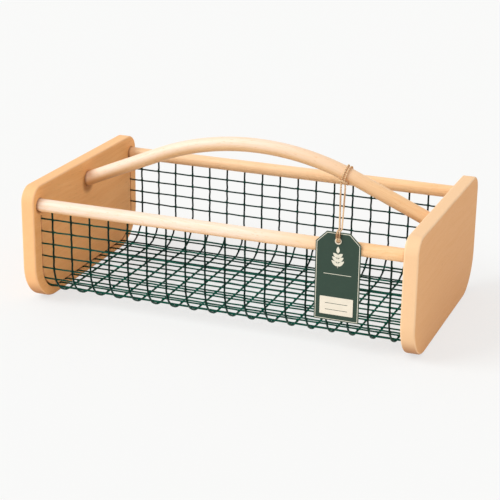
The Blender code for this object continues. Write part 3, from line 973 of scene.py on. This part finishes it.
def plied_tube(points, share, turn_step, outline):
    """A stretch of twine with its plies drawn in to this share, turned by one step at each point."""
    turn = [i * turn_step for i in range(len(points))]
    return tube_shape(points, swell=[share] * len(points), turn=turn, outline=outline)


def tie_knot(finish, outline):
    """The overhand knot behind the tag, with its two cut ends."""
    middle = Vector((tag_centre_x, knot_y, tag_hole_z + knot_rise))
    points = []
    for i in range(knot_points):
        t = math.tau * i / knot_points
        points.append(middle + knot_spread * Vector((
            math.sin(t) + 2 * math.sin(2 * t), -1.2 * math.sin(3 * t), math.cos(t) - 2 * math.cos(2 * t),
        )))
    work = plied_tube(points + points[:1], knot_share, knot_turn, outline)
    for side in (-1, 1):
        start = middle + Vector((side * tail_start[0], *tail_start[1:]))
        end = start + Vector((side * tail_run[0], *tail_run[1:]))
        bend = start.lerp(end, 0.5) + Vector((0, tail_bow, 0))
        tail = even_points(smooth_curve([start, bend, end]), tail_spacing)
        extra = finished_mesh(plied_tube(tail, tail_share, tail_turn, outline))
        work.from_mesh(extra)
        bpy.data.meshes.remove(extra)
    return add_piece("twine_knot", finished_mesh(work), [finish], "tag", ["tag_knot"], all_smooth)


def bind_thread(sizes, finish):
    """A thin thread bound round both strands over the eyelet."""
    strands = even_points(smooth_curve(tie_strand(1)), thread_spacing)
    low, high = (tag_hole_z + height for height in thread_heights)
    span = [point for point in strands if low < point.z < high]
    over = thread_over_share * sizes.thread_radius
    half_width = twine_spacing / 2 + sizes.twine_coated + over
    half_depth = strand_depth_share * sizes.twine_coated + over
    steps = thread_points * sizes.thread_turns
    points = []
    for i in range(steps + 1):
        share = i / steps
        along = share * (len(span) - 1)
        k = min(int(along), len(span) - 2)
        spot = span[k].lerp(span[k + 1], along - k)
        angle = math.tau * sizes.thread_turns * share
        x = tag_centre_x + half_width * math.cos(angle)
        points.append(Vector((x, spot.y - half_depth * math.sin(angle), spot.z)))
    mesh = finished_mesh(tube_shape(points, sizes.thread_radius))
    return add_piece("twine_thread", mesh, [finish], "tag", [], all_smooth)


class CADDY_OT_twine(bpy.types.Operator):
    """Hang the twine: one cord from its knot to the handle and back, with a thread bound round it"""

    bl_idname = "caddy.twine"
    bl_label = "Hang the twine"

    def execute(self, context):
        sizes = context.scene.caddy_sizes
        colours = context.scene.caddy_colours
        finish = twine_material("twine", colours.twine, colours.twine_dark, plies=True)
        outline = ply_outline(sizes.twine_coated)
        path = even_points(smooth_curve(twine_route()), 0.2 * twine_diameter)
        step = run_length(path) / (len(path) - 1)
        turn = [math.tau * i * step / sizes.ply_turn for i in range(len(path))]
        mesh = finished_mesh(tube_shape(path, turn=turn, outline=outline))
        twine = add_piece("twine", mesh, [finish], None, ["tag_twine"], all_smooth)
        knot = tie_knot(finish, outline)
        finish = twine_material("thread", colours.thread, colours.twine_dark, plies=False)
        thread = bind_thread(sizes, finish)
        drop(outline)
        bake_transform(twine)
        return {"FINISHED"}


# Mesh


def trough_place(distance, inward):
    """The place (y, z) this far along the rows' U from the floor's middle, moved in towards the inside."""
    side = 1 if distance >= 0 else -1
    rest = abs(distance)
    if rest <= row_flat:
        return distance, row_floor_z + inward
    if rest <= row_corner:
        angle = (rest - row_flat) / row_bend_radius
        radius = row_bend_radius - inward
        return side * (row_flat + radius * math.sin(angle)), row_straight_z - radius * math.cos(angle)
    return side * (row_y - inward), row_straight_z + rest - row_corner


def even_stations(count, half_run, shift=0.0):
    return [-half_run - shift + 2 * half_run * i / (count - 1) for i in range(count)]


def coated_wire(sizes, chance, crossings, reach, radius, place_of):
    """A wire as far as its reach to both sides, swollen at each crossing and straying between them."""
    stops = [(-reach, 0.0)]
    for crossing in crossings:
        stops += [(crossing + weld_reach * offset, amount) for offset, amount in weld_shares]
    stops.append((reach, 0.0))
    points = []
    for distance, amount in stops:
        stray = chance.uniform(-sizes.wire_waver, sizes.wire_waver)
        points.append(Vector(place_of(distance, 0.0 if amount else stray)))
    return tube_shape(points, radius, swell=[1.0 + sizes.wire_swell * amount for distance, amount in stops])


def add_welds(work, sizes, x, rows, chance):
    """The swollen coat over each crossing of one upright."""
    for distance in rows:
        middle = Vector((x, *trough_place(distance, -row_step / 2)))
        normal = (Vector((x, *trough_place(distance, 0.0))) - middle).normalized()
        turn = Vector((0, 0, 1)).rotation_difference(normal).to_matrix().to_4x4()
        size = sizes.weld_radius * chance.uniform(*weld_size_shares)
        shape = Matrix.Diagonal((*(size * share for share in weld_form_shares), 1.0))
        place = Matrix.Translation(middle) @ turn @ shape
        made = bmesh.ops.create_uvsphere(work, u_segments=8, v_segments=6, radius=1.0, matrix=place)
        for face in {face for vert in made["verts"] for face in vert.link_faces}:
            face.material_index = 1


class CADDY_OT_mesh(bpy.types.Operator):
    """Bend the trough's mesh: upright wires in a U, and rows welded on the inside of them"""

    bl_idname = "caddy.mesh"
    bl_label = "Bend the mesh"

    def execute(self, context):
        sizes = context.scene.caddy_sizes
        colours = context.scene.caddy_colours
        rows = even_stations(row_count, row_corner + row_top_z - row_straight_z, row_shift)
        uprights = even_stations(upright_count, half_inside - upright_end_gap)
        # The welds' paler coat is a painted highlight.
        weld_coat = coat_material("weld_coat", colours.coat_weld, 0.5)
        # The uprights' darker coat is painted shade against the rows' paler coat.
        upright_coats = [coat_material("upright_coat", colours.coat, 0.15), weld_coat]
        row_coat = coat_material("row_coat", colours.coat_row, 0.5)
        top = row_corner - row_straight_z + rail_z - rail_radius + rail_slot_depth - gap
        outside = sizes.weld_sink - row_step
        for i, x in enumerate(uprights):
            chance = random.Random(upright_seed + i)
            work = coated_wire(
                sizes, chance, rows, top, sizes.upright_coated,
                lambda distance, stray: (x + stray, *trough_place(distance, outside)),
            )
            add_welds(work, sizes, x, rows, chance)
            self.add_wire("upright", i + 1, work, upright_coats)
        end = half_inside + groove_depth - gap
        for i, row in enumerate(rows):
            work = coated_wire(
                sizes, random.Random(row_seed + i), uprights, end, sizes.row_coated,
                lambda x, stray: (x, *trough_place(row + stray, -sizes.weld_sink)),
            )
            self.add_wire("row", i + 1, work, [row_coat])
        return {"FINISHED"}

    def add_wire(self, kind, number, work, coats):
        name, replaced = f"mesh_{kind}_{number:02d}", f"{kind}_wire_{number:02d}"
        add_piece(name, finished_mesh(work), coats, "root", [replaced], all_smooth)


# Wood


def set_grain(piece, place_of):
    """Stores where each vertex lies in its own board, with the grain along X."""
    layer = piece.data.attributes.new("grain_place", "FLOAT_VECTOR", "POINT")
    for vertex, value in zip(piece.data.vertices, layer.data):
        value.vector = place_of(vertex.co)


def own_cut(side, cut):
    """The part of the grain that the left or the right one of two like pieces is cut from."""
    return Vector((side * cut[0], side * cut[1], cut[2]))


def into_panel(side, y, z):
    """The place of a socket in one panel's inner face, with X into the wood."""
    turn = Matrix.Rotation(0 if side > 0 else math.pi, 4, "Z")
    return Matrix.Translation((side * half_inside, y, z)) @ turn


def rail_bore(side, rail_side, ease):
    """Cuts one rail's socket in one panel, with its rim eased."""
    radius = rail_radius + gap
    profile = [(-ease, 0), (-ease, radius + 2 * ease), (ease, radius)]
    profile += [(socket_depth, radius), (socket_depth, 0)]
    return turned_shape(profile, dowel_sides, into_panel(side, rail_side * rail_y, rail_z))


def handle_bore(side):
    """Cuts the handle's slanted socket in one panel."""
    radius = handle_radius + gap
    height, slope = handle_place(side * half_inside)
    lean = abs(slope)
    overrun = 2 * radius * math.tan(lean)
    run = socket_depth / math.cos(lean)
    profile = [(-overrun, 0), (-overrun, radius), (run, radius), (run, 0)]
    place = into_panel(side, 0, height) @ Matrix.Rotation(lean, 4, "Y")
    return turned_shape(profile, handle_bore_sides, place)


def mesh_groove(side):
    """Cuts the groove that takes the rows' ends in one panel."""
    half = wire_radius + gap
    top_z = row_top_z + row_shift + groove_top_margin
    walls = []
    for offset in (-half, half):
        wall = [(-(row_y + offset), top_z)]
        for centre_side, start in ((-1, 180), (1, 270)):
            centre = (centre_side * row_flat, row_straight_z)
            wall += arc_points(centre, row_bend_radius + offset, start, start + 90, groove_steps)
        walls.append(wall + [(row_y + offset, top_z)])
    work = bmesh.new()
    start_x = side * (half_inside - 2 * gap)
    face = work.faces.new([work.verts.new((start_x, y, z)) for y, z in walls[0] + walls[1][::-1]])
    grown = bmesh.ops.extrude_face_region(work, geom=[face])
    verts = [item for item in grown["geom"] if isinstance(item, bmesh.types.BMVert)]
    bmesh.ops.translate(work, vec=(side * (groove_depth + 2 * gap), 0, 0), verts=verts)
    bmesh.ops.recalc_face_normals(work, faces=work.faces)
    return work


def board(side, edge_round):
    """A panel's board with its corners and edges rounded."""
    middle = Vector((side * (half_inside + panel_thickness / 2), 0, panel_height / 2))
    work = box_shape((panel_thickness, panel_width, panel_height), middle)
    for radius, level in ((panel_top_radius, panel_height), (panel_bottom_radius, 0.0)):
        round_edges(work, edges_along(work, 0, level - gap, level + gap), radius, corner_steps)
    round_edges(work, rim_edges(work, 0), edge_round, edge_steps)
    return work


class CADDY_OT_panels(bpy.types.Operator):
    """Cut the two end panels, with their sockets and the groove for the mesh"""

    bl_idname = "caddy.panels"
    bl_label = "Cut the end panels"

    def execute(self, context):
        sizes = context.scene.caddy_sizes
        colours = context.scene.caddy_colours
        # The left board's paler colours are painted light against the shade on its inner face.
        for name, side, light, dark, edge in (
            ("left", -1, colours.left_light, colours.left_dark, colours.left_edge),
            ("right", 1, colours.right_light, colours.right_dark, colours.right_edge),
        ):
            finish = board_material(f"{name}_board_wood", light, dark, edge)
            cutters = [rail_bore(side, rail_side, sizes.bore_ease) for rail_side in (-1, 1)]
            cutters += [handle_bore(side), mesh_groove(side)]
            mesh = cut_away(board(side, sizes.edge_round), cutters)
            if len(mesh.polygons) < least_cut_faces:
                raise RuntimeError(f"panel_{name}: the sockets were not cut")
            panel = add_piece(f"end_panel_{name}", mesh, [finish], "root", [f"panel_{name}"], 35)
            keep_flats_flat(panel)
            shift = own_cut(side, board_cut)
            set_grain(panel, lambda co: Vector((co.y, co.z, co.x)) + shift)
        return {"FINISHED"}


class CADDY_OT_rails(bpy.types.Operator):
    """Turn the front and rear rails, with the slot that takes the uprights"""

    bl_idname = "caddy.rails"
    bl_label = "Turn the rails"

    def execute(self, context):
        half_length = half_inside + socket_depth - gap
        ease = context.scene.caddy_sizes.slot_ease
        profile = [(-half_length, 0), (-half_length, rail_radius - ease), (-half_length + ease, rail_radius)]
        profile += [(-along, radius) for along, radius in profile[::-1]]
        depth = rail_slot_depth + rail_radius
        slot_size = (2 * half_length + 2 * depth, 2 * (wire_radius + gap), depth)
        # The front rail takes more of the sapwood tone and painted sheen than the rear one.
        for name, side, paleness in (("rail_front", -1, 1.0), ("rail_rear", 1, 0.15)):
            shape = turned_shape(profile, dowel_sides, Matrix.Translation((0, side * rail_y, rail_z)))
            middle = (0, side * rail_y, rail_z - rail_radius + rail_slot_depth - depth / 2)
            mesh = cut_away(shape, [box_shape(slot_size, middle)])
            finish = dowel_material(f"{name}_wood", paleness, 0.9, 0.0)
            rail = add_piece(f"dowel_{name}", mesh, [finish], "root", [name], 35)
            keep_flats_flat(rail)
            shift = own_cut(side, rail_cut)
            set_grain(rail, lambda co: co + shift)
        return {"FINISHED"}


def bent_grain(spot):
    """A place straightened out along the handle, so that the grain follows the bend."""
    centre_z = handle_apex_z - handle_bend_radius
    angle = max(-handle_bend_angle, min(handle_bend_angle, math.atan2(spot.x, spot.z - centre_z)))
    out = Vector((math.sin(angle), 0, math.cos(angle)))
    along = Vector((math.cos(angle), 0, -math.sin(angle)))
    rest = spot - Vector((0, 0, centre_z)) - out * handle_bend_radius
    straight = Vector((handle_bend_radius * angle + rest.dot(along), spot.y, rest.dot(out)))
    return straight + Vector(handle_cut)


class CADDY_OT_handle(bpy.types.Operator):
    """Bend the handle from one socket to the other"""

    bl_idname = "caddy.handle"
    bl_label = "Bend the handle"

    def execute(self, context):
        centre = (0, handle_apex_z - handle_bend_radius)
        wide = math.degrees(handle_bend_angle)
        arc = arc_points(centre, handle_bend_radius, 90 + wide, 90 - wide, bend_steps)
        stops = [half_inside + stop for stop in (*handle_leg_stops, socket_depth - gap)]
        leg = [(x, handle_place(x)[0]) for x in stops]
        path = [(-x, z) for x, z in leg[::-1]] + arc + leg
        work = tube_shape([Vector((x, 0, z)) for x, z in path], handle_radius, handle_sides)
        # The handle takes the sapwood tone with its painted sheen, and painted shade under its ends.
        finish = dowel_material("handle_wood", 0.85, 0.5, 0.75)
        handle = add_piece("bent_handle", finished_mesh(work), [finish], "root", ["handle"], 50)
        set_grain(handle, bent_grain)
        return {"FINISHED"}


# Tag


def along_eyelet():
    """The place of the tag's hole, with X through the card."""
    return Matrix.Translation((tag_centre_x, tag_middle_y, tag_hole_z)) @ Matrix.Rotation(math.pi / 2, 4, "Z")


def cut_card(sizes, finishes):
    """The card with its printed line, its core showing at the edges and its hole."""
    middle = Vector((tag_centre_x, tag_middle_y, tag_top_z - tag_height / 2))
    work = box_shape((tag_width, tag_thickness, tag_height), middle)
    round_edges(work, edges_along(work, 1, low=middle.z), tag_corner, segments=1)
    round_edges(work, rim_edges(work, 1), tag_thickness / 8, segments=2)
    for face in work.faces:
        face.material_index = 0 if abs(face.normal.y) > 0.9 else 1
    front = [face for face in work.faces if face.normal.y < -0.9 and face.calc_area() > tag_width**2 / 2]
    bmesh.ops.inset_region(work, faces=front, thickness=sizes.line_inset, use_even_offset=True)
    line = bmesh.ops.inset_region(work, faces=front, thickness=sizes.line_width, use_even_offset=True)
    for face in line["faces"]:
        face.material_index = 2
    radius = eyelet_bore_radius + eyelet_wall + gap
    profile = [(-tag_thickness, 0), (-tag_thickness, radius), (tag_thickness, radius), (tag_thickness, 0)]
    mesh = cut_away(work, [turned_shape(profile, hole_sides, along_eyelet())])
    add_piece("tag_card_cut", mesh, finishes, "tag", ["tag_card"])


def stick_label(finishes):
    """The label with its two ruled lines."""
    middle = (tag_centre_x, tag_front_y - label_relief / 2, label_z)
    work = box_shape((label_width, label_relief, label_height), middle)
    round_edges(work, edges_along(work, 1), label_corner, segments=3)
    cuts = [(tag_centre_x + side * ruled_half_width, (1, 0, 0)) for side in (-1, 1)]
    cuts += [(level + side * ruled_half_height, (0, 0, 1)) for level in ruled_levels for side in (-1, 1)]
    for place, normal in cuts:
        spot = tuple(place * part for part in normal)
        everything = work.verts[:] + work.edges[:] + work.faces[:]
        bmesh.ops.bisect_plane(work, geom=everything, plane_co=spot, plane_no=normal, dist=gap / 100)
    work.normal_update()
    for face in work.faces:
        centre = face.calc_center_median()
        on_line = any(abs(centre.z - level) < ruled_half_height for level in ruled_levels)
        if face.normal.y < -0.9 and on_line and abs(centre.x - tag_centre_x) < ruled_half_width:
            face.material_index = 1
    add_piece("tag_label_paper", finished_mesh(work), finishes, "tag", ["tag_label"])


def set_eyelet(paint):
    """A rolled ring with a flange on each face of the card."""
    outer = eyelet_bore_radius + eyelet_wall
    face = tag_thickness / 2 + gap / 6
    rim = tag_thickness / 2 + gap + eyelet_flange_thickness
    roll = eyelet_roll
    half = [(face, outer), (face, eyelet_flange_radius - roll / 2), (face + roll, eyelet_flange_radius)]
    half += [(rim - roll, eyelet_flange_radius - roll / 3), (rim, eyelet_flange_radius - 2 * roll)]
    half += [(rim, outer), (rim - roll, eyelet_bore_radius + roll / 3), (rim - 2 * roll, eyelet_bore_radius)]
    profile = half + [(-along, radius) for along, radius in half[::-1]]
    mesh = finished_mesh(turned_shape(profile, eyelet_sides, along_eyelet(), closed=True))
    add_piece("tag_eyelet_ring", mesh, [paint], "tag", ["tag_eyelet"], 60)


def add_leaf(work, rise, lean, length, half_width, lift):
    """One leaf, pointed at both ends, this high over the stem's foot and as proud of the card as its lift."""
    edge = []
    for i in range(leaf_points):
        share = i / leaf_points
        edge.append((half_width * math.sin(math.pi * share**leaf_skew) ** leaf_fullness, length * share))
    outline = edge + [(0.0, length)] + [(-x, z) for x, z in edge[:0:-1]]
    turn = Matrix.Rotation(math.radians(lean), 4, "Y")
    place = Matrix.Translation(sprig_foot + Vector((0, 0, rise))) @ turn
    front, back = ([work.verts.new(place @ Vector((x, y, z))) for x, z in outline] for y in (-lift, lift))
    work.faces.new(front)
    work.faces.new(back[::-1])
    for i in range(len(outline)):
        work.faces.new((front[i - 1], front[i], back[i], back[i - 1]))


def print_sprig(cream):
    """A plain sprig printed on the card: a stem over pairs of leaves, and a rule under it."""
    work = box_shape(rule_size, sprig_foot - Vector((0, 0, rule_drop)))
    for rise, length in leaf_pairs:
        for side in (-1, 1):
            add_leaf(work, rise, side * leaf_lean, length, leaf_half_width, print_lift)
    add_leaf(work, tip_rise, 0.0, tip_length, tip_half_width, print_lift)
    add_leaf(work, 0.0, 0.0, stem_length, stem_half_width, 2 * print_lift)
    bmesh.ops.recalc_face_normals(work, faces=work.faces)
    add_piece("tag_sprig", finished_mesh(work), [cream], "tag", [])


class CADDY_OT_tag(bpy.types.Operator):
    """Cut the hang tag, with its printed line, sprig, label and eyelet"""

    bl_idname = "caddy.tag"
    bl_label = "Cut the hang tag"

    def execute(self, context):
        colours = context.scene.caddy_colours
        card = paper_material("card_print", colours.card, 2600.0, 0.50, 0.45, 0.00002)
        core = paper_material("card_core", colours.card_core, 3200.0, 0.80, 0.5, 0.00004)
        cream = paper_material("cream_print", colours.cream, 2600.0, 0.55, 0.3, 0.00002)
        paper = paper_material("label_paper", colours.label, 2200.0, 0.75, 0.35, 0.00003)
        paint = paper_material("eyelet_paint", colours.eyelet, 900.0, 0.30, 0.3, 0.00003)
        cut_card(context.scene.caddy_sizes, [card, core, cream])
        stick_label([paper, card])
        set_eyelet(paint)
        print_sprig(cream)
        return {"FINISHED"}


class CADDY_PT_build(bpy.types.Panel):
    """Builds the caddy piece by piece"""

    bl_idname = "CADDY_PT_build"
    bl_label = "Produce Caddy"
    bl_space_type = "VIEW_3D"
    bl_region_type = "UI"
    bl_category = "Caddy"

    def draw(self, context):
        for group in (context.scene.caddy_sizes, context.scene.caddy_colours, context.scene.caddy_stage):
            box = self.layout.box()
            for name in group.bl_rna.properties.keys():
                if name not in ("rna_type", "name"):
                    box.prop(group, name)
        for operator in operators:
            self.layout.operator(operator.bl_idname)


operators = (
    CADDY_OT_stage, CADDY_OT_twine, CADDY_OT_mesh, CADDY_OT_panels,
    CADDY_OT_rails, CADDY_OT_handle, CADDY_OT_tag,
)
classes = (CaddySizes, CaddyColours, CaddyStage, *operators, CADDY_PT_build)


def register():
    for cls in classes:
        bpy.utils.register_class(cls)
    bpy.types.Scene.caddy_sizes = bpy.props.PointerProperty(type=CaddySizes)
    bpy.types.Scene.caddy_colours = bpy.props.PointerProperty(type=CaddyColours)
    bpy.types.Scene.caddy_stage = bpy.props.PointerProperty(type=CaddyStage)


def unregister():
    del bpy.types.Scene.caddy_stage
    del bpy.types.Scene.caddy_colours
    del bpy.types.Scene.caddy_sizes
    for cls in reversed(classes):
        bpy.utils.unregister_class(cls)


def main():
    register()
    bpy.ops.caddy.stage()
    bpy.ops.caddy.twine()
    bpy.ops.caddy.mesh()
    bpy.ops.caddy.panels()
    bpy.ops.caddy.rails()
    bpy.ops.caddy.handle()
    bpy.ops.caddy.tag()


if __name__ == "__main__":
    main()
